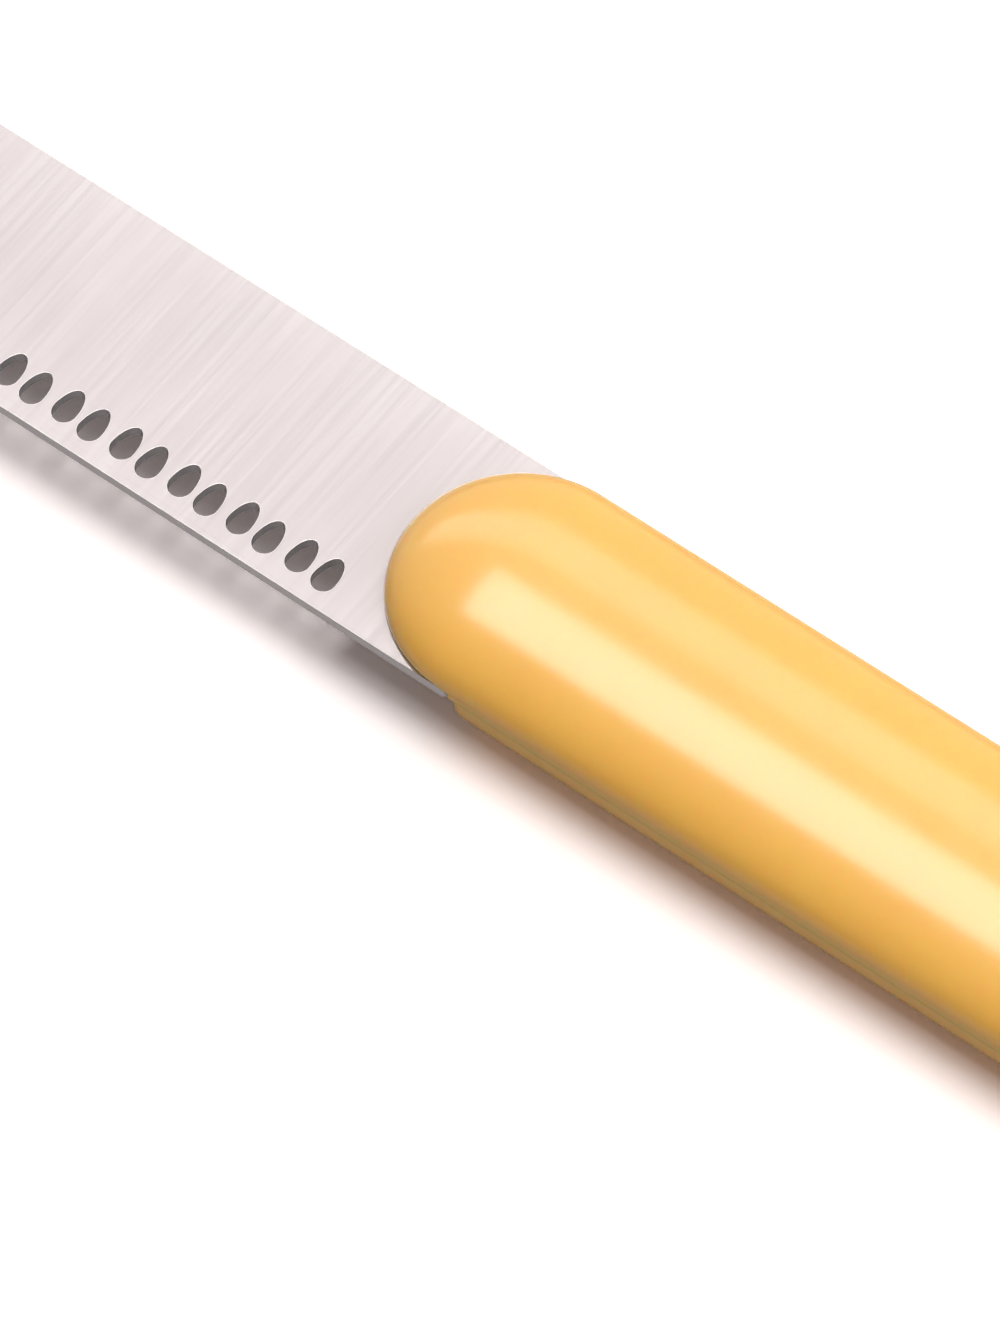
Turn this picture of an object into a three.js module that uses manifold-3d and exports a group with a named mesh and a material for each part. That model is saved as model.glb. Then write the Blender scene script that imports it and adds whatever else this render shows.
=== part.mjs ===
// Butter knife: a stamped steel blade with a row of egg-shaped holes, whose tang is held between two
// moulded handle shells. Millimetres, +Z up. +X runs from the tip to the end of the handle, and the
// holed edge is at -Y. The origin is on the table, under the middle of the knife.

import * as THREE from 'three';
import { mergeVertices } from 'three/addons/utils/BufferGeometryUtils.js';
import Module from 'manifold-3d';

// Blade
const bladeWidth = 24.4; // from the holed edge to the plain edge
const bladeThickness = 1.2; // of the sheet
const bladeLength = 94; // from the tip to the nose of the handle
const tipLength = 13; // of the rounded tip, along the blade

// Egg-shaped holes, in staggered pairs
const holeWidth = 2.4; // at the widest place
const holeBluntLength = 1.25; // from the widest place to the blunt end, which faces the edge
const holeNarrowLength = 2.6; // from the widest place to the narrow end
const holeEdgeMargin = 1.62; // metal between the edge and the lower hole of a pair
const holeStagger = 0.21; // by which the hole nearer the tip sits higher
const holeWeb = 0.69; // metal between the two holes of a pair
const pairWeb = 1.18; // metal between one pair and the next
const rowNoseMargin = 2.8; // from the nose of the handle to the middle of the first hole
const rowTipMargin = 2.5; // at least, from the middle of the last hole to the start of the tip

// Tang, the part of the blade inside the handle
const tangWidth = 13;
const tangEndRadius = 4; // of its two end corners
const shoulderDepth = 13; // from the nose of the handle to the shoulder
const shoulderRound = 0.6; // of its two outer corners
const shoulderFillet = 1.5; // in the corners between shoulder and tang

// Outside of the handle
const handleLength = 114; // from the nose to the end
const sideOverhang = 0.1; // of the handle, past each edge of the blade
const upperSide = 1; // height of the upright side above the seam
const upperCrown = 4.6; // from there to the top
const crownFlat = 0.8; // width of the flat left along the top
const lowerSide = 0.8; // height of the upright side below the seam
const lowerCrown = 5.8; // from there to the belly
const bellyWidth = 10; // of the flat that the knife rests on

// Inside of the handle
const shellWall = 2.4;
const frontWall = 3.5; // solid plastic between the front of the lower shell and the hollow
const tangEndGap = 10; // from the end of the tang to the end of the hollow
const pegDiameter = 4;
const pegHeight = 2.6; // above the tang
const pegFrontMargin = 12; // from the front of the hollow to the first peg
const pegEndMargin = 9; // from the last peg to the end of the tang
const bossWall = 1.8; // around the pegs
const ribCount = 3; // between the pegs, in each shell
const ribThickness = 1.5;
const tongueWidth = 0.8; // of the tongue along the rim of the lower shell
const tongueHeight = 0.7;
const tongueMargin = 0.8; // from the outside of the handle to the tongue

// Clearances
const seamGap = 0.1; // between the rims of the two shells
const faceGap = 0.1; // between the faces of the plate and the plastic
const plateGap = 0.3; // between the outline of the plate and the plastic
const pegGap = 0.3; // around and above the pegs
const grooveGap = 0.2; // around the tongue

// Facets
const outsideFacets = { arc: 14, crown: 9 };
const insideFacets = { arc: 8, crown: 3 };
const holeFacets = 8;
const pegFacets = 24;

// Places that follow from the sizes. The nose of the handle is at x = 0 and the seam at z = 0.
const handleRadius = bladeWidth / 2 + sideOverhang;
const tipX = -bladeLength;
const tipStartX = tipX + tipLength;
const holeSpacing = holeWidth + holeWeb;
const pairPitch = holeSpacing + holeWidth + pairWeb;
const lowerFrontX = shoulderDepth + plateGap; // the lower shell starts square behind the shoulder
const hollowFrontX = lowerFrontX + frontWall;
const tangEndX = handleLength - shellWall - tangEndGap;
const lowerHeight = lowerSide + lowerCrown;
const upperReach = handleRadius - crownFlat / 2;
const lowerReach = handleRadius - bellyWidth / 2;
const plateTop = bladeThickness / 2;
const seatHeight = plateTop + faceGap;
const pegTop = plateTop + pegHeight;
const firstPegX = hollowFrontX + pegFrontMargin;
const lastPegX = tangEndX - pegEndMargin;
const pegXs = [firstPegX, lastPegX];
const pegRadius = pegDiameter / 2;
const pegHoleRadius = pegRadius + pegGap;
const bossRadius = pegHoleRadius + bossWall;
const far = bladeLength + handleLength; // longer than anything on the knife

const wasm = await Module();
wasm.setup();

// A closed three.js geometry as a solid that can be cut and joined.
function solid(geometry) {
  geometry.deleteAttribute('normal');
  geometry.deleteAttribute('uv');
  const merged = mergeVertices(geometry);
  return new wasm.Manifold(
    new wasm.Mesh({
      numProp: 3,
      vertProperties: merged.getAttribute('position').array,
      triVerts: Uint32Array.from(merged.index.array),
    }),
  );
}

// A solid as a named mesh.
function piece(name, body, material) {
  const mesh = body.getMesh();
  const geometry = new THREE.BufferGeometry();
  geometry.setAttribute('position', new THREE.BufferAttribute(mesh.vertProperties, 3));
  geometry.setIndex(new THREE.BufferAttribute(mesh.triVerts, 1));
  geometry.computeVertexNormals();
  const made = new THREE.Mesh(geometry, material);
  made.name = name;
  return made;
}

function box(x0, x1, y0, y1, z0, z1) {
  const geometry = new THREE.BoxGeometry(x1 - x0, y1 - y0, z1 - z0);
  return solid(geometry.translate((x0 + x1) / 2, (y0 + y1) / 2, (z0 + z1) / 2));
}

function post(x, radius, z0, z1) {
  const geometry = new THREE.CylinderGeometry(radius, radius, z1 - z0, pegFacets);
  return solid(geometry.rotateX(Math.PI / 2).translate(x, 0, (z0 + z1) / 2));
}

function plate(shape, z0, z1, curveSegments) {
  const geometry = new THREE.ExtrudeGeometry(shape, {
    depth: z1 - z0,
    bevelEnabled: false,
    curveSegments,
  });
  return solid(geometry.translate(0, 0, z0));
}

// Everything behind a station along the knife, and above or below a height.
const behind = (x) => box(x, x + far, -far, far, -far, far);
const above = (z) => box(-far, far, -far, far, z, z + far);
const below = (z) => box(-far, far, -far, far, z - far, z);

// The handle seen from above, drawn in by an inset: two rounds and the straight sides between them.
function handleOutline(inset) {
  const radius = handleRadius - inset;
  const right = Math.PI / 2;
  const shape = new THREE.Shape();
  shape.absarc(handleRadius, 0, radius, right, 3 * right, false);
  shape.absarc(handleLength - handleRadius, 0, radius, -right, right, false);
  return shape;
}

// The handle as a pillow, alike above and below the seam: upright sides, then an elliptic crown that
// reaches in from the outline.
function pillow(inset, side, crown, reach, facets) {
  const geometry = new THREE.ExtrudeGeometry(handleOutline(inset), {
    depth: 2 * side,
    curveSegments: facets.arc,
    bevelThickness: crown,
    bevelSize: reach,
    bevelOffset: -reach,
    bevelSegments: facets.crown,
  });
  return solid(geometry.translate(0, 0, -side));
}

// The outline of blade and tang, from the half width of the blade and the place of its shoulder. The
// tang is widened by a gap.
function plateOutline(half, shoulder, gap) {
  const tangHalf = tangWidth / 2 + gap;
  const end = tangEndX + gap;
  const round = tangEndRadius + gap;
  const fillet = shoulderFillet - gap;
  const outer = shoulderRound + gap;
  const right = Math.PI / 2;
  const shape = new THREE.Shape();
  shape.moveTo(tipStartX, -half);
  shape.absarc(shoulder - outer, outer - half, outer, -right, 0, false);
  shape.absarc(shoulder + fillet, -tangHalf - fillet, fillet, 2 * right, right, true);
  shape.absarc(end - round, round - tangHalf, round, -right, 0, false);
  shape.absarc(end - round, tangHalf - round, round, 0, right, false);
  shape.absarc(shoulder + fillet, tangHalf + fillet, fillet, -right, -2 * right, true);
  shape.absarc(shoulder - outer, half - outer, outer, 0, right, false);
  shape.absellipse(tipStartX, 0, tipLength, half, right, 3 * right, false);
  return shape;
}

// One hole: two half ellipses that share their width.
function eggHole(x, edgeMargin) {
  const y = edgeMargin + holeBluntLength - bladeWidth / 2;
  const hole = new THREE.Path();
  hole.absellipse(x, y, holeWidth / 2, holeNarrowLength, 0, Math.PI, false);
  hole.absellipse(x, y, holeWidth / 2, holeBluntLength, Math.PI, 2 * Math.PI, false);
  return hole;
}

// As many pairs of holes as the straight edge takes.
function holeRow() {
  const rowLength = -rowNoseMargin - rowTipMargin - tipStartX;
  const pairCount = Math.floor((rowLength - holeSpacing) / pairPitch) + 1;
  const holes = [];
  for (let i = 0; i < pairCount; i++) {
    const x = -rowNoseMargin - i * pairPitch;
    holes.push(eggHole(x, holeEdgeMargin));
    holes.push(eggHole(x - holeSpacing, holeEdgeMargin + holeStagger));
  }
  return holes;
}

function blade() {
  const shape = plateOutline(bladeWidth / 2, shoulderDepth, 0);
  shape.holes.push(...holeRow());
  for (const x of pegXs) {
    const hole = new THREE.Path();
    hole.absarc(x, 0, pegHoleRadius, 0, 2 * Math.PI, false);
    shape.holes.push(hole);
  }
  return plate(shape, -plateTop, plateTop, holeFacets);
}

// The room for blade and tang in the plastic. The slot for the blade is open at both sides of the
// handle, and runs up to the front of the lower shell.
function platePocket() {
  const shape = plateOutline(handleRadius + shoulderRound + plateGap, lowerFrontX, plateGap);
  return plate(shape, -seatHeight, seatHeight, holeFacets);
}

// Bosses around the pegs and ribs between them, which run up to the tang from both sides.
function tangSeats() {
  let seats = post(firstPegX, bossRadius, -far, far).add(post(lastPegX, bossRadius, -far, far));
  for (let i = 1; i <= ribCount; i++) {
    const x = THREE.MathUtils.lerp(firstPegX, lastPegX, i / (ribCount + 1));
    seats = seats.add(box(x - ribThickness / 2, x + ribThickness / 2, -far, far, -far, far));
  }
  return seats;
}

// One half of the handle before the plate and the pegs are fitted.
function shell(side, crown, reach) {
  const outside = pillow(0, side, crown, reach, outsideFacets);
  const inside = pillow(shellWall, side, crown - shellWall, reach - shellWall, insideFacets);
  const hollow = inside.intersect(behind(hollowFrontX)).subtract(tangSeats());
  return outside.subtract(hollow).subtract(platePocket());
}

// The tongue along the rim behind the shoulder, or the groove for it, which is wider by a gap.
function tongue(gap) {
  const ring = handleOutline(tongueMargin - gap);
  ring.holes.push(handleOutline(tongueMargin + tongueWidth + gap));
  const height = tongueHeight + gap;
  const whole = plate(ring, -height, height, insideFacets.arc);
  return whole.intersect(behind(lowerFrontX + tongueMargin - gap));
}

function upperShell() {
  let body = shell(upperSide, upperCrown, upperReach).intersect(above(seamGap / 2));
  for (const x of pegXs) body = body.subtract(post(x, pegHoleRadius, 0, pegTop + pegGap));
  return body.subtract(tongue(grooveGap));
}

function lowerShell() {
  const whole = shell(lowerSide, lowerCrown, lowerReach);
  let body = whole.intersect(below(-seamGap / 2)).intersect(behind(lowerFrontX));
  for (const x of pegXs) body = body.add(post(x, pegRadius, -seatHeight - pegHeight, pegTop));
  return body.add(tongue(0).intersect(above(-seamGap)));
}

const steel = new THREE.MeshStandardMaterial({ color: '#dedad9', roughness: 0.32, metalness: 1 });
const plastic = new THREE.MeshStandardMaterial({ color: '#f0b84c', roughness: 0.22, metalness: 0 });

// Put together, and set down on the table.
const assembly = new THREE.Group();
assembly.position.set((bladeLength - handleLength) / 2, 0, lowerHeight);
assembly.add(piece('blade', blade(), steel));
assembly.add(piece('handle_upper_shell', upperShell(), plastic.clone()));
assembly.add(piece('handle_lower_shell', lowerShell(), plastic.clone()));

const knife = new THREE.Group();
knife.add(assembly);

export default knife;
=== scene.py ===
"""Butter knife: a stamped steel blade with egg-shaped holes, held between two moulded handle shells."""

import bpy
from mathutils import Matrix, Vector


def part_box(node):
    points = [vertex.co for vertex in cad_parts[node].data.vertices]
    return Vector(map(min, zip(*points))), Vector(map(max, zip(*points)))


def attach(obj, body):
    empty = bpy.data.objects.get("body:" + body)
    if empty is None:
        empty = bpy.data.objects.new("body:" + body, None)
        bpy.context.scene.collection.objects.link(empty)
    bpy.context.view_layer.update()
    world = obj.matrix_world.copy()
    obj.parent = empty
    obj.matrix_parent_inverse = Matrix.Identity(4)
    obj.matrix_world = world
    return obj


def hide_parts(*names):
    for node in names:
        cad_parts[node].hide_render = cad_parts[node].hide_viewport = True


bl_info = {
    "name": "Butter Knife",
    "version": (1, 0, 0),
    "blender": (4, 5, 0),
    "location": "3D View > Sidebar > Butter Knife",
    "description": "Models a butter knife with a brushed blade and a glossy handle, and its studio stage",
    "category": "Add Mesh",
}

import math

import bmesh
import bpy
from bpy.props import FloatProperty, FloatVectorProperty, IntProperty, PointerProperty
from mathutils import Vector

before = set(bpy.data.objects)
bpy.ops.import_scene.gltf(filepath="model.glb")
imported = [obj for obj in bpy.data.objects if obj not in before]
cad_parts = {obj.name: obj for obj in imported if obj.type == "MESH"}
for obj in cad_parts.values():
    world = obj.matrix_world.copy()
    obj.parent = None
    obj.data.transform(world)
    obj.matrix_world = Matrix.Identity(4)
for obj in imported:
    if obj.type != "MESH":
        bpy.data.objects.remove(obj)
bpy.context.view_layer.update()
blade_low, blade_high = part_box("blade")
upper_low, upper_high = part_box("handle_upper_shell")
lower_low, lower_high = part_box("handle_lower_shell")

MM = 0.001
EPS = 1e-6

# Facets
TIP_POINTS = 96  # round of the tip, as part of a whole circle
EGG_POINTS = 48
OUTLINE_POINTS = 128  # both rounds of the handle together
LENGTH_CUTS = 15  # along each straight side of the handle
CROWN_STEPS = 32
CORNER_SEGMENTS = 8  # outer corners of the tang and the shoulder
FILLET_SEGMENTS = 6  # between shoulder and tang
RIM_SEGMENTS = 2  # stamped edges and moulded rims
FRONT_SEGMENTS = 4  # front of the lower shell
NOSE_SEGMENTS = 3  # rim of the nose above the blade

# Reach of cutters past what they cut
EGG_REACH = 1 * MM
SLOT_REACH = 3 * MM

# Edges that turn by more than the first angle are rounded, and by more than the second shaded crisp.
STEEL_ANGLES = (math.radians(40), math.radians(15))
PLASTIC_ANGLES = (math.radians(50), math.radians(35))

# Stage
FLOOR_SIZE = 0.36
FLOOR_GAIN = 2.5  # by which the camera sees the floor brighter, so that it turns white
LIGHT_TINT = "#fff0ee"
ROOM_SPAN = (-0.7, 0.3)  # of the way's Y, over which the mirrored room turns from dim to bright
ROOM_LEVELS = (0.2, 1.3)
# Sides of the lamps in X and in Y, as parts of their height
OVERHEAD_SIDES = ((0.05, 2.2), (-0.27, 1.1))
BEHIND_SIDES = ((-2.2, 0.05), (0.577, 1.1))
KEY_SIDES = ((-0.46, 0), (-0.03, 0.395))
TARGET = (5.26 * MM, -7.17 * MM)  # place on the blade's upper face that the camera faces
SENSOR_WIDTH = 36
CLIP_START = 0.01


def linear(text):
    """The linear colour of an sRGB hex value."""
    parts = [int(text[i : i + 2], 16) / 255 for i in (1, 3, 5)]
    return tuple(p / 12.92 if p <= 0.04045 else ((p + 0.055) / 1.055) ** 2.4 for p in parts)


def length(name, description, default):
    """A size that a user can change."""
    return FloatProperty(
        name=name, description=description, default=default, unit="LENGTH", subtype="DISTANCE", precision=5
    )


def colour(name, description, default):
    """A colour that a user can change."""
    return FloatVectorProperty(
        name=name, description=description, default=linear(default), subtype="COLOR", size=3, min=0, max=1
    )


def brightness(name, description, default):
    """A level of light that a user can change."""
    return FloatProperty(name=name, description=description, default=default, min=0)


def angle(name, description, degrees):
    """An angle that a user can change."""
    return FloatProperty(name=name, description=description, default=math.radians(degrees), subtype="ANGLE")


class BladeSettings(bpy.types.PropertyGroup):
    """Sizes and colour of the blade."""

    tip_length: length("Tip length", "Length of the rounded tip", 13 * MM)
    edge_round: length("Edge rounding", "Rounding of the stamped edges", 0.2 * MM)
    hole_width: length("Hole width", "Width of a hole at its widest place", 2.4 * MM)
    hole_blunt: length("Blunt length", "From the widest place of a hole to its blunt end", 1.25 * MM)
    hole_narrow: length("Narrow length", "From the widest place of a hole to its narrow end", 2.6 * MM)
    hole_margin: length("Edge margin", "Steel between the edge and the lower hole of a pair", 1.62 * MM)
    hole_stagger: length("Stagger", "By which the hole nearer the tip sits higher", 0.21 * MM)
    hole_web: length("Hole web", "Steel between the two holes of a pair", 0.69 * MM)
    pair_web: length("Pair web", "Steel between one pair and the next", 1.18 * MM)
    row_margin: length("Row margin", "From the nose of the handle to the middle of the first hole", 2.8 * MM)
    pairs: IntProperty(name="Pairs", description="Pairs of holes along the edge", default=11, min=1)
    tang_width: length("Tang width", "Width of the tang inside the handle", 13 * MM)
    tang_round: length("Tang rounding", "Radius of the tang's end corners", 4 * MM)
    shoulder_depth: length("Shoulder depth", "From the nose of the handle to the shoulder", 13 * MM)
    shoulder_round: length("Shoulder rounding", "Radius of the shoulder's outer corners", 0.6 * MM)
    shoulder_fillet: length("Shoulder fillet", "Radius between shoulder and tang", 1.5 * MM)
    steel: colour("Steel", "Colour of the brushed sheet", "#c8c7c7")


class HandleSettings(bpy.types.PropertyGroup):
    """Sizes and colour of the handle."""

    upper_side: length("Upper side", "Height of the upright side above the seam", 1 * MM)
    crown_flat: length("Crown flat", "Width of the flat left along the top", 0.8 * MM)
    lower_side: length("Lower side", "Height of the upright side below the seam", 0.8 * MM)
    belly_width: length("Belly width", "Width of the flat that the knife rests on", 10 * MM)
    seam_gap: length("Seam gap", "Between the rims of the two shells", 0.01 * MM)
    face_gap: length("Face gap", "Between the faces of the plate and the plastic", 0.06 * MM)
    plate_gap: length("Plate gap", "Between the outline of the plate and the plastic", 0.3 * MM)
    edge_round: length("Edge rounding", "Rounding of the moulded rims", 0.03 * MM)
    nose_round: length("Nose rounding", "Rounding of the nose's lower rim, above the blade", 0.25 * MM)
    front_round: length("Front rounding", "Rounding of the lower shell's front", 1.2 * MM)
    plastic: colour("Plastic", "Colour of the moulded plastic", "#fac15a")


class StageSettings(bpy.types.PropertyGroup):
    """Floor, light and camera."""

    floor: colour("Floor", "Colour of the floor", "#c4bfbe")
    fill: brightness("Fill", "Light from all round", 0.22)
    strip: brightness("Strip", "Brightness of the long strip overhead", 2.35)
    back: brightness("Back", "Brightness of the long strip behind", 1.9)
    key: brightness("Key", "Brightness of the softbox overhead", 5.2)
    lamp_height: length("Lamp height", "Height of the softboxes above the floor", 0.6)
    camera_distance: length("Camera distance", "From the camera to the knife", 0.7)
    lens: FloatProperty(name="Lens", description="Focal length", default=283.5, min=1, unit="CAMERA")
    azimuth: angle("Azimuth", "Camera's turn round the knife", 36.78)
    elevation: angle("Elevation", "Camera's height above the horizon", 58.86)


def deselect():
    """Nothing is selected, in object mode."""
    if bpy.context.mode != "OBJECT":
        bpy.ops.object.mode_set(mode="OBJECT")
    bpy.ops.object.select_all(action="DESELECT")


def only(obj):
    """One object is selected and active."""
    deselect()
    obj.select_set(True)
    bpy.context.view_layer.objects.active = obj


def edit(obj):
    """Edit mode on one object, with nothing selected in it."""
    only(obj)
    bpy.ops.object.mode_set(mode="EDIT")
    bpy.ops.mesh.select_mode(type="VERT")
    bpy.ops.mesh.select_all(action="DESELECT")


def pick(obj, test):
    """In edit mode, selects the points whose place passes a test, with the edges and faces between them."""
    mesh = bmesh.from_edit_mesh(obj.data)
    bpy.ops.mesh.select_all(action="DESELECT")
    found = 0
    for vert in mesh.verts:
        if test(vert.co):
            vert.select = True
            found += 1
    if not found:
        raise RuntimeError("no point of " + obj.name + " is where it should be")
    mesh.select_flush_mode()
    mesh.select_flush(True)
    bmesh.update_edit_mesh(obj.data)


def circle(name, points, radius, centre, turn=0):
    """A ring of points, with its place in its mesh."""
    deselect()
    bpy.ops.mesh.primitive_circle_add(vertices=points, radius=radius, location=centre, rotation=(0, 0, turn))
    obj = bpy.context.object
    obj.name = name
    obj.data.name = name
    bpy.ops.object.transform_apply(location=True, rotation=True, scale=True)
    return obj


def thicken(height):
    """Fills the ring in edit mode and draws it up to a solid."""
    bpy.ops.mesh.select_all(action="SELECT")
    bpy.ops.mesh.edge_face_add()
    bpy.ops.mesh.extrude_region_move(TRANSFORM_OT_translate={"value": (0, 0, height)})
    bpy.ops.mesh.select_all(action="SELECT")
    bpy.ops.mesh.normals_make_consistent(inside=False)
    bpy.ops.object.mode_set(mode="OBJECT")


def modify(obj, kind, **settings):
    """Adds a modifier and applies it."""
    only(obj)
    modifier = obj.modifiers.new(kind.lower(), kind)
    for name, value in settings.items():
        setattr(modifier, name, value)
    bpy.ops.object.modifier_apply(modifier=modifier.name)


def cut(obj, cutter):
    """Takes a cutter away from a solid, and deletes the cutter."""
    before = len(obj.data.vertices)
    modify(obj, "BOOLEAN", operation="DIFFERENCE", solver="EXACT", object=cutter)
    if len(obj.data.vertices) == before:
        raise RuntimeError(cutter.name + " cut nothing from " + obj.name)
    only(cutter)
    bpy.ops.object.delete()


def handle_radius():
    """Radius of both ends of the handle."""
    return (upper_high.y - upper_low.y) / 2


def plate(name, half, shoulder, gap, low, high):
    """Blade and tang as a flat solid, with a gap round the tang."""
    blade = bpy.context.scene.knife_blade
    tang_half = blade.tang_width / 2 + gap
    tip_start = blade_low.x + blade.tip_length
    end = blade_high.x + gap

    # The round tip is half a circle, drawn out to the tip's length.
    obj = circle(name, TIP_POINTS, half, (tip_start, 0, low))
    edit(obj)
    pick(obj, lambda co: co.x > tip_start + EPS)
    bpy.ops.mesh.delete(type="VERT")
    bpy.ops.mesh.select_all(action="SELECT")
    stretch = blade.tip_length / half
    bpy.ops.transform.resize(value=(stretch, 1, 1), center_override=(tip_start, 0, low))

    # Its two ends run back to the shoulder, in to the tang and on to the tang's end.
    pick(obj, lambda co: co.x > tip_start - EPS)
    bpy.ops.mesh.extrude_vertices_move(TRANSFORM_OT_translate={"value": (shoulder - tip_start, 0, 0)})
    bpy.ops.mesh.extrude_vertices_move(TRANSFORM_OT_translate={"value": (0, 0, 0)})
    bpy.ops.transform.resize(value=(1, tang_half / half, 1), center_override=(shoulder, 0, low))
    bpy.ops.mesh.extrude_vertices_move(TRANSFORM_OT_translate={"value": (end - shoulder, 0, 0)})
    bpy.ops.mesh.edge_face_add()
    bpy.ops.mesh.select_all(action="SELECT")
    bpy.ops.mesh.edge_face_add()

    # Rounded corners at the tang's end and in the shoulder.
    pick(obj, lambda co: co.x > end - EPS)
    bpy.ops.mesh.bevel(offset=blade.tang_round + gap, segments=CORNER_SEGMENTS, affect="VERTICES")
    pick(obj, lambda co: abs(co.x - shoulder) < EPS and abs(co.y) < tang_half + EPS)
    bpy.ops.mesh.bevel(offset=blade.shoulder_fillet - gap, segments=FILLET_SEGMENTS, affect="VERTICES")
    pick(obj, lambda co: abs(co.x - shoulder) < EPS and abs(co.y) > half - EPS)
    bpy.ops.mesh.bevel(offset=blade.shoulder_round + gap, segments=CORNER_SEGMENTS, affect="VERTICES")

    bpy.ops.mesh.select_all(action="SELECT")
    bpy.ops.mesh.extrude_region_move(TRANSFORM_OT_translate={"value": (0, 0, high - low)})
    bpy.ops.mesh.select_all(action="SELECT")
    bpy.ops.mesh.normals_make_consistent(inside=False)
    bpy.ops.object.mode_set(mode="OBJECT")
    return obj


def egg_row():
    """The cutters for all holes: one egg, doubled to a pair and repeated along the edge."""
    blade = bpy.context.scene.knife_blade
    x = upper_low.x - blade.row_margin
    y = blade_low.y + blade.hole_margin + blade.hole_blunt
    low = blade_low.z - EGG_REACH
    half = blade.hole_width / 2
    egg = circle("egg_cutter", EGG_POINTS, half, (x, y, low))
    edit(egg)
    pick(egg, lambda co: co.y > y + EPS)
    bpy.ops.transform.resize(value=(1, blade.hole_narrow / half, 1), center_override=(x, y, low))
    pick(egg, lambda co: co.y < y - EPS)
    bpy.ops.transform.resize(value=(1, blade.hole_blunt / half, 1), center_override=(x, y, low))
    thicken(blade_high.z - blade_low.z + 2 * EGG_REACH)
    spacing = blade.hole_width + blade.hole_web
    pitch = spacing + blade.hole_width + blade.pair_web
    steady = {"use_relative_offset": False, "use_constant_offset": True}
    modify(egg, "ARRAY", count=2, constant_offset_displace=(-spacing, blade.hole_stagger, 0), **steady)
    modify(egg, "ARRAY", count=blade.pairs, constant_offset_displace=(-pitch, 0, 0), **steady)
    return egg


def shell(name, seam_z, side, crown, reach, up):
    """One half of the handle: its outline, drawn up to the side's height and inset to the crown."""
    radius = handle_radius()
    nose_x = upper_low.x + radius
    end_x = upper_high.x - radius
    obj = circle(name, OUTLINE_POINTS, radius, (nose_x, 0, seam_z), math.pi / OUTLINE_POINTS)
    edit(obj)
    pick(obj, lambda co: co.x > nose_x)
    bpy.ops.transform.translate(value=(end_x - nose_x, 0, 0))

    # The straight sides get cuts, so that the shading of the rounds doesn't spread along them.
    mesh = bmesh.from_edit_mesh(obj.data)
    for edge in mesh.edges:
        edge.select = edge.calc_length() > radius
    bmesh.update_edit_mesh(obj.data)
    bpy.ops.mesh.select_mode(type="EDGE")
    bpy.ops.mesh.subdivide(number_cuts=LENGTH_CUTS)
    bpy.ops.mesh.select_mode(type="VERT")

    bpy.ops.mesh.select_all(action="SELECT")
    bpy.ops.mesh.edge_face_add()
    bpy.ops.mesh.extrude_region_move(TRANSFORM_OT_translate={"value": (0, 0, up * side)})
    bpy.ops.mesh.select_all(action="SELECT")
    bpy.ops.mesh.normals_make_consistent(inside=False)
    bpy.ops.mesh.select_mode(type="FACE")
    mesh = bmesh.from_edit_mesh(obj.data)
    for face in mesh.faces:
        face.select = face.normal.z * up > 0.5
    bmesh.update_edit_mesh(obj.data)
    inset = height = 0
    for step in range(1, CROWN_STEPS + 1):
        rise = math.pi / 2 * step / CROWN_STEPS
        next_inset = reach * (1 - math.cos(rise))
        next_height = crown * math.sin(rise)
        bpy.ops.mesh.inset(thickness=next_inset - inset, depth=next_height - height, use_even_offset=True)
        inset, height = next_inset, next_height
    bpy.ops.object.mode_set(mode="OBJECT")
    return obj


def add(tree, kind, settings=None, links=None):
    """Adds a node, sets its values and links its inputs."""
    made = tree.nodes.new(kind)
    for name, value in (settings or {}).items():
        if isinstance(name, int) or name in made.inputs:
            made.inputs[name].default_value = value
        else:
            setattr(made, name, value)
    for name, source in (links or {}).items():
        tree.links.new(source, made.inputs[name])
    return made


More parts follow.
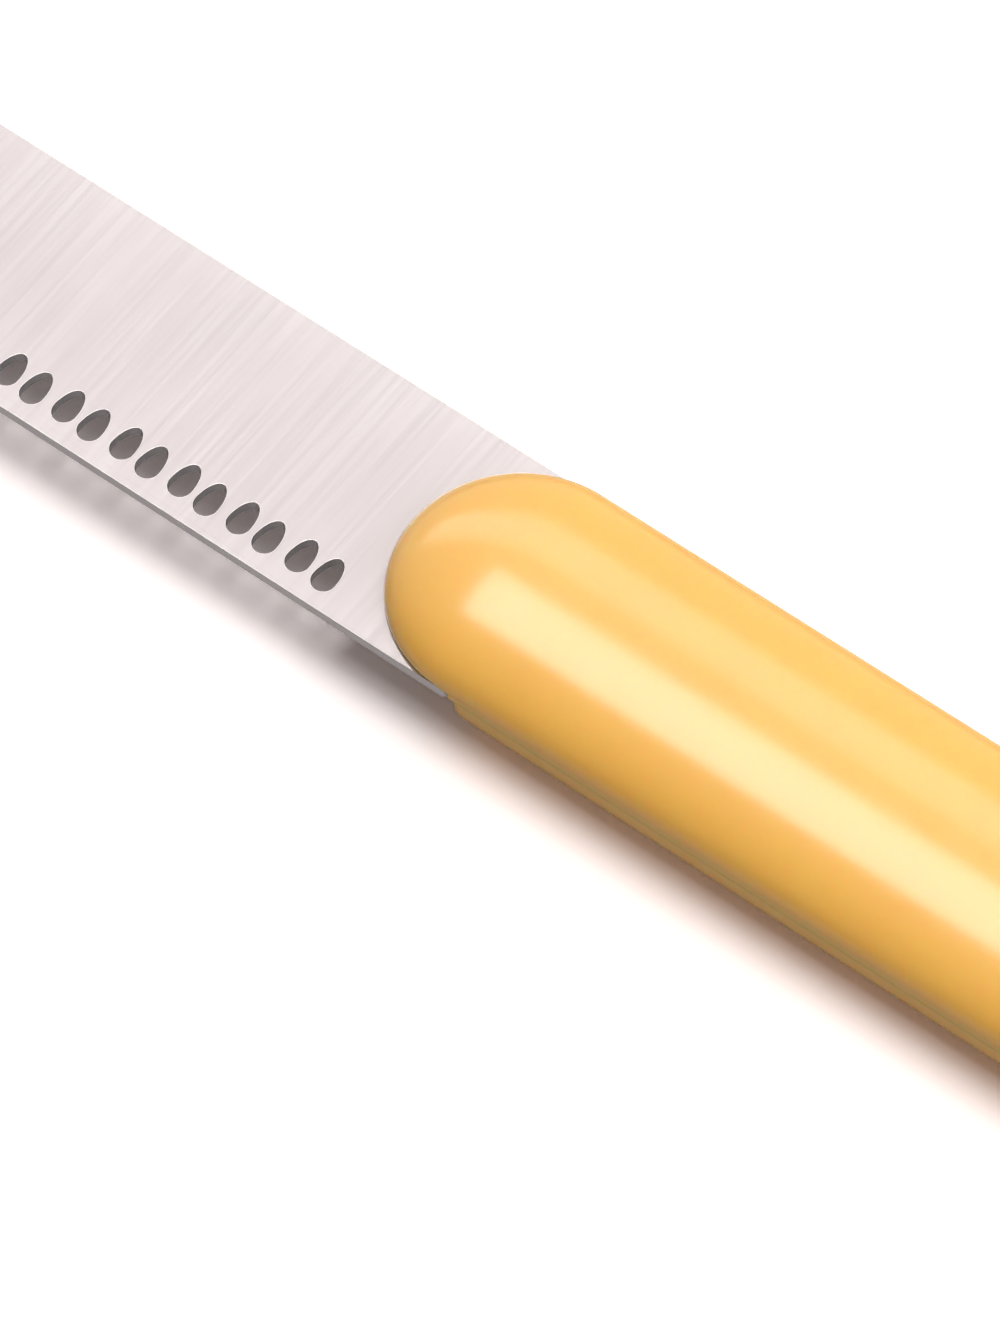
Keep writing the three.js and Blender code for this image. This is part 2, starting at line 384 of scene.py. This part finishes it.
def brushed_stainless_steel():
    """Stainless sheet, brushed across the blade: pale, with fine streaks that blur reflections."""
    material = bpy.data.materials.new("brushed_stainless_steel")
    material.use_nodes = True
    tree = material.node_tree
    tree.nodes.clear()
    steel = tuple(bpy.context.scene.knife_blade.steel)
    place = add(tree, "ShaderNodeTexCoord")
    across = add(tree, "ShaderNodeTangent", {"direction_type": "UV_MAP", "uv_map": "grain"})

    # Scratches of the brushing, 0.05 mm wide on the sheet, drawn 0.35 mm wide so that they show.
    grain = 1 / (0.35 * MM)
    run = 1 / (18 * MM)
    streak_place = add(
        tree, "ShaderNodeMapping", {"Scale": (grain, run, run)}, {"Vector": place.outputs["Object"]}
    )
    streaks = add(
        tree,
        "ShaderNodeTexNoise",
        {"Scale": 1, "Detail": 3, "Roughness": 0.6},
        {"Vector": streak_place.outputs["Vector"]},
    )
    lines = add(
        tree,
        "ShaderNodeMapRange",
        {"From Min": 0.3, "From Max": 0.7, "To Min": 0.98, "To Max": 1.02},
        {"Value": streaks.outputs["Fac"]},
    )
    # Clouds from uneven pressure of the belt, about 12 mm across.
    clouds = add(
        tree, "ShaderNodeTexNoise", {"Scale": 1 / (12 * MM), "Detail": 2}, {"Vector": place.outputs["Object"]}
    )
    rough = add(
        tree,
        "ShaderNodeMapRange",
        {"From Min": 0.3, "From Max": 0.7, "To Min": 0.15, "To Max": 0.19},
        {"Value": streaks.outputs["Fac"]},
    )
    shade = add(
        tree,
        "ShaderNodeMapRange",
        {"From Min": 0.3, "From Max": 0.7, "To Min": 0.98, "To Max": 1.02},
        {"Value": clouds.outputs["Fac"]},
    )
    # The sheared sides of the sheet and its holes are painted 10% brighter than the brushed faces: a painted
    # reflection of the bright floor that they face.
    facing = add(tree, "ShaderNodeSeparateXYZ", links={"Vector": place.outputs["Normal"]})
    upright = add(tree, "ShaderNodeMath", {"operation": "ABSOLUTE"}, {0: facing.outputs["Z"]})
    edge_sheen = add(
        tree,
        "ShaderNodeMapRange",
        {"From Min": 0.2, "From Max": 0.9, "To Min": 1.1, "To Max": 1},
        {"Value": upright.outputs["Value"]},
    )
    # The belt's clouds, times the painted reflection on the sheared sides.
    clouds_and_edge_sheen = add(
        tree,
        "ShaderNodeMath",
        {"operation": "MULTIPLY"},
        {0: shade.outputs["Result"], 1: edge_sheen.outputs["Result"]},
    )
    level = add(
        tree,
        "ShaderNodeMath",
        {"operation": "MULTIPLY"},
        {0: clouds_and_edge_sheen.outputs["Value"], 1: lines.outputs["Result"]},
    )
    tone = add(
        tree, "ShaderNodeVectorMath", {"operation": "SCALE", 0: steel}, {"Scale": level.outputs["Value"]}
    )
    bump = add(
        tree, "ShaderNodeBump", {"Strength": 0.08, "Distance": 0.02 * MM}, {"Height": streaks.outputs["Fac"]}
    )
    surface = add(
        tree,
        "ShaderNodeBsdfPrincipled",
        {"Metallic": 0.7, "Anisotropic": 0.95},
        {
            "Base Color": tone.outputs["Vector"],
            "Roughness": rough.outputs["Result"],
            "Normal": bump.outputs["Normal"],
            "Tangent": across.outputs["Tangent"],
        },
    )
    add(tree, "ShaderNodeOutputMaterial", links={"Surface": surface.outputs["BSDF"]})
    return material


def glossy_moulded_plastic():
    """Injection-moulded ABS from a polished mould: an even yellow under a smooth, slightly soft gloss."""
    material = bpy.data.materials.new("glossy_moulded_abs")
    material.use_nodes = True
    tree = material.node_tree
    tree.nodes.clear()
    yellow = tuple(bpy.context.scene.knife_handle.plastic)
    place = add(tree, "ShaderNodeTexCoord")

    # Pigment drift of the melt, about 9 mm across.
    drift = add(
        tree, "ShaderNodeTexNoise", {"Scale": 1 / (9 * MM), "Detail": 2}, {"Vector": place.outputs["Object"]}
    )
    shade = add(
        tree,
        "ShaderNodeMapRange",
        {"From Min": 0.3, "From Max": 0.7, "To Min": 0.985, "To Max": 1.015},
        {"Value": drift.outputs["Fac"]},
    )
    tone = add(
        tree, "ShaderNodeVectorMath", {"operation": "SCALE", 0: yellow}, {"Scale": shade.outputs["Result"]}
    )
    # Faint waviness of the mould's polish, about 3 mm across.
    polish = add(
        tree, "ShaderNodeTexNoise", {"Scale": 1 / (3 * MM), "Detail": 2}, {"Vector": place.outputs["Object"]}
    )
    rough = add(
        tree,
        "ShaderNodeMapRange",
        {"From Min": 0.3, "From Max": 0.7, "To Min": 0.16, "To Max": 0.2},
        {"Value": polish.outputs["Fac"]},
    )
    bump = add(
        tree, "ShaderNodeBump", {"Strength": 0.03, "Distance": 0.02 * MM}, {"Height": polish.outputs["Fac"]}
    )
    surface = add(
        tree,
        "ShaderNodeBsdfPrincipled",
        {
            "IOR": 1.65,
            "Subsurface Weight": 0.8,
            "Subsurface Radius": (1, 0.4, 0.15),
            "Subsurface Scale": 1.2 * MM,
        },
        {
            "Base Color": tone.outputs["Vector"],
            "Roughness": rough.outputs["Result"],
            "Normal": bump.outputs["Normal"],
        },
    )
    add(tree, "ShaderNodeOutputMaterial", links={"Surface": surface.outputs["BSDF"]})
    return material


def white_floor():
    """Matt white board, which renders white where no shadow falls."""
    material = bpy.data.materials.new("matt_white_board")
    material.use_nodes = True
    tree = material.node_tree
    tree.nodes.clear()
    board_colour = tuple(bpy.context.scene.knife_stage.floor)
    path = add(tree, "ShaderNodeLightPath")
    shown = add(
        tree,
        "ShaderNodeMapRange",
        {"To Min": 1, "To Max": FLOOR_GAIN},
        {"Value": path.outputs["Is Camera Ray"]},
    )
    tone = add(
        tree,
        "ShaderNodeVectorMath",
        {"operation": "SCALE", 0: board_colour},
        {"Scale": shown.outputs["Result"]},
    )
    board = add(tree, "ShaderNodeBsdfDiffuse", links={"Color": tone.outputs["Vector"]})
    add(tree, "ShaderNodeOutputMaterial", links={"Surface": board.outputs["BSDF"]})
    return material


def soften(obj, width, rounded, crisp):
    """Rounds the sharp edges of a finished piece and shades it smooth."""
    only(obj)
    bpy.ops.object.shade_smooth()
    modify(
        obj,
        "BEVEL",
        width=width,
        segments=RIM_SEGMENTS,
        limit_method="ANGLE",
        angle_limit=rounded,
        harden_normals=True,
    )
    only(obj)
    bpy.ops.object.shade_smooth_by_angle(angle=crisp)


def dress(obj, material, node):
    """Gives a finished piece its material, its body and the node that it stands for."""
    obj.data.materials.clear()
    obj.data.materials.append(material)
    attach(obj, "root")
    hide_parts(node)


class KNIFE_OT_blade(bpy.types.Operator):
    """Model the blade with its holes and tang"""

    bl_idname = "knife.blade"
    bl_label = "Add Blade"

    def execute(self, context):
        blade = context.scene.knife_blade
        shoulder = upper_low.x + blade.shoulder_depth
        obj = plate("knife_blade", blade_high.y, shoulder, 0, blade_low.z, blade_high.z)
        cut(obj, egg_row())
        soften(obj, blade.edge_round, *STEEL_ANGLES)
        edit(obj)
        bpy.ops.mesh.select_all(action="SELECT")
        bpy.ops.uv.cube_project(cube_size=blade_high.x - blade_low.x)
        bpy.ops.object.mode_set(mode="OBJECT")
        obj.data.uv_layers.active.name = "grain"
        dress(obj, brushed_stainless_steel(), "blade")
        return {"FINISHED"}


class KNIFE_OT_handle(bpy.types.Operator):
    """Model the two shells of the handle"""

    bl_idname = "knife.handle"
    bl_label = "Add Handle Shells"

    def execute(self, context):
        handle = context.scene.knife_handle
        seam = (blade_low.z + blade_high.z) / 2
        thick = (blade_high.z - blade_low.z) / 2 + handle.face_gap
        wide = handle_radius() + context.scene.knife_blade.shoulder_round + handle.plate_gap
        front = lower_low.x
        plastic = glossy_moulded_plastic()
        halves = (
            ("handle_upper", "handle_upper_shell", upper_high.z, handle.upper_side, handle.crown_flat, 1),
            ("handle_lower", "handle_lower_shell", lower_low.z, handle.lower_side, handle.belly_width, -1),
        )
        for name, node, top, side, flat, up in halves:
            rim = seam + up * handle.seam_gap / 2
            crown = abs(top - seam) - side
            obj = shell(name, rim, side - handle.seam_gap / 2, crown, handle_radius() - flat / 2, up)
            slot_end = front
            if up < 0:
                # The lower shell ends square behind the shoulder, and only the tang runs into it.
                edit(obj)
                bpy.ops.mesh.select_all(action="SELECT")
                bpy.ops.mesh.bisect(
                    plane_co=(front, 0, 0), plane_no=(1, 0, 0), use_fill=True, clear_inner=True
                )
                mesh = bmesh.from_edit_mesh(obj.data)
                for edge in mesh.edges:
                    ends = [vert.co for vert in edge.verts]
                    at_front = all(abs(co.x - front) < EPS for co in ends)
                    at_rim = all(abs(co.z - rim) < EPS for co in ends)
                    edge.select_set(at_front and not at_rim)
                bmesh.update_edit_mesh(obj.data)
                bpy.ops.mesh.bevel(offset=handle.front_round, segments=FRONT_SEGMENTS, affect="EDGES")
                bpy.ops.object.mode_set(mode="OBJECT")
                slot_end = front - SLOT_REACH
            cut(obj, plate("plate_cutter", wide, slot_end, handle.plate_gap, seam - thick, seam + thick))
            if up > 0:
                edit(obj)
                pick(obj, lambda co: abs(co.z - seam - thick) < EPS and co.x < front - EPS)
                bpy.ops.mesh.bevel(offset=handle.nose_round, segments=NOSE_SEGMENTS, affect="EDGES")
                bpy.ops.object.mode_set(mode="OBJECT")
            soften(obj, handle.edge_round, *PLASTIC_ANGLES)
            dress(obj, plastic, node)
        return {"FINISHED"}


class KNIFE_OT_stage(bpy.types.Operator):
    """Set the floor, the light and the camera"""

    bl_idname = "knife.stage"
    bl_label = "Add Stage"

    def execute(self, context):
        stage = context.scene.knife_stage
        scene = context.scene
        scene.view_settings.view_transform = "Standard"

        deselect()
        bpy.ops.mesh.primitive_plane_add(size=FLOOR_SIZE)
        floor = context.object
        floor.name = "floor"
        floor.data.materials.append(white_floor())

        # Light from all round, and a white background behind the floor's edge.
        world = bpy.data.worlds.new("studio")
        scene.world = world
        world.use_nodes = True
        tree = world.node_tree
        tree.nodes.clear()
        path = add(tree, "ShaderNodeLightPath")
        mirror = add(
            tree,
            "ShaderNodeMath",
            {"operation": "MAXIMUM"},
            {0: path.outputs["Is Glossy Ray"], 1: path.outputs["Is Transmission Ray"]},
        )
        direct = add(
            tree, "ShaderNodeMath", {"operation": "LESS_THAN", 1: 0.5}, {0: path.outputs["Diffuse Depth"]}
        )
        mirrored = add(
            tree,
            "ShaderNodeMath",
            {"operation": "MULTIPLY"},
            {0: mirror.outputs["Value"], 1: direct.outputs["Value"]},
        )
        way = add(tree, "ShaderNodeTexCoord")
        parts = add(tree, "ShaderNodeSeparateXYZ", links={"Vector": way.outputs["Generated"]})
        room = add(
            tree,
            "ShaderNodeMapRange",
            {
                "interpolation_type": "SMOOTHSTEP",
                "From Min": ROOM_SPAN[0],
                "From Max": ROOM_SPAN[1],
                "To Min": ROOM_LEVELS[0],
                "To Max": ROOM_LEVELS[1],
            },
            {"Value": parts.outputs["Y"]},
        )
        dimmed = add(
            tree,
            "ShaderNodeMath",
            {"operation": "MULTIPLY"},
            {0: mirrored.outputs["Value"], 1: room.outputs["Result"]},
        )
        level = add(
            tree, "ShaderNodeMath", {"operation": "MAXIMUM", 1: stage.fill}, {0: dimmed.outputs["Value"]}
        )
        tint = linear(LIGHT_TINT) + (1,)
        light = add(tree, "ShaderNodeBackground", {"Color": tint}, {"Strength": level.outputs["Value"]})
        white = add(tree, "ShaderNodeBackground", {"Color": (1, 1, 1, 1), "Strength": 1})
        sky = add(
            tree,
            "ShaderNodeMixShader",
            links={
                0: path.outputs["Is Camera Ray"],
                1: light.outputs["Background"],
                2: white.outputs["Background"],
            },
        )
        add(tree, "ShaderNodeOutputWorld", links={"Surface": sky.outputs["Shader"]})

        # Lamps that face down: two long strips along the knife, and a softbox for the highlight.
        high = stage.lamp_height
        boxes = (
            ("strip_overhead", stage.strip, OVERHEAD_SIDES),
            ("strip_behind", stage.back, BEHIND_SIDES),
            ("softbox_key", stage.key, KEY_SIDES),
        )
        for name, radiance, ((x0, x1), (y0, y1)) in boxes:
            deselect()
            at = ((x0 + x1) / 2 * high, (y0 + y1) / 2 * high, high)
            bpy.ops.object.light_add(type="AREA", location=at)
            lamp = context.object
            lamp.name = name
            lamp.data.shape = "RECTANGLE"
            lamp.data.size = (x1 - x0) * high
            lamp.data.size_y = (y1 - y0) * high
            lamp.data.energy = radiance * math.pi * lamp.data.size * lamp.data.size_y

        target = Vector((*TARGET, blade_high.z))
        turn, rise = stage.azimuth, stage.elevation
        back = Vector((math.sin(turn) * math.cos(rise), -math.cos(turn) * math.cos(rise), math.sin(rise)))
        deselect()
        bpy.ops.object.camera_add(
            location=target + back * stage.camera_distance,
            rotation=back.to_track_quat("Z", "Y").to_euler(),
        )
        camera = context.object
        camera.name = "camera"
        camera.data.sensor_fit = "HORIZONTAL"
        camera.data.sensor_width = SENSOR_WIDTH
        camera.data.lens = stage.lens
        camera.data.clip_start = CLIP_START
        scene.camera = camera
        return {"FINISHED"}


class KNIFE_PT_panel(bpy.types.Panel):
    """Buttons and settings of the butter knife"""

    bl_idname = "KNIFE_PT_panel"
    bl_label = "Butter Knife"
    bl_space_type = "VIEW_3D"
    bl_region_type = "UI"
    bl_category = "Butter Knife"

    def draw(self, context):
        layout = self.layout
        groups = (
            ("knife.blade", context.scene.knife_blade),
            ("knife.handle", context.scene.knife_handle),
            ("knife.stage", context.scene.knife_stage),
        )
        for operator, settings in groups:
            box = layout.box()
            box.operator(operator)
            for name in settings.__annotations__:
                box.prop(settings, name)


CLASSES = (
    BladeSettings,
    HandleSettings,
    StageSettings,
    KNIFE_OT_blade,
    KNIFE_OT_handle,
    KNIFE_OT_stage,
    KNIFE_PT_panel,
)


def register():
    for cls in CLASSES:
        bpy.utils.register_class(cls)
    bpy.types.Scene.knife_blade = PointerProperty(type=BladeSettings)
    bpy.types.Scene.knife_handle = PointerProperty(type=HandleSettings)
    bpy.types.Scene.knife_stage = PointerProperty(type=StageSettings)


def unregister():
    del bpy.types.Scene.knife_stage
    del bpy.types.Scene.knife_handle
    del bpy.types.Scene.knife_blade
    for cls in reversed(CLASSES):
        bpy.utils.unregister_class(cls)


def main():
    register()
    bpy.ops.knife.blade()
    bpy.ops.knife.handle()
    bpy.ops.knife.stage()


if __name__ == "__main__":
    main()
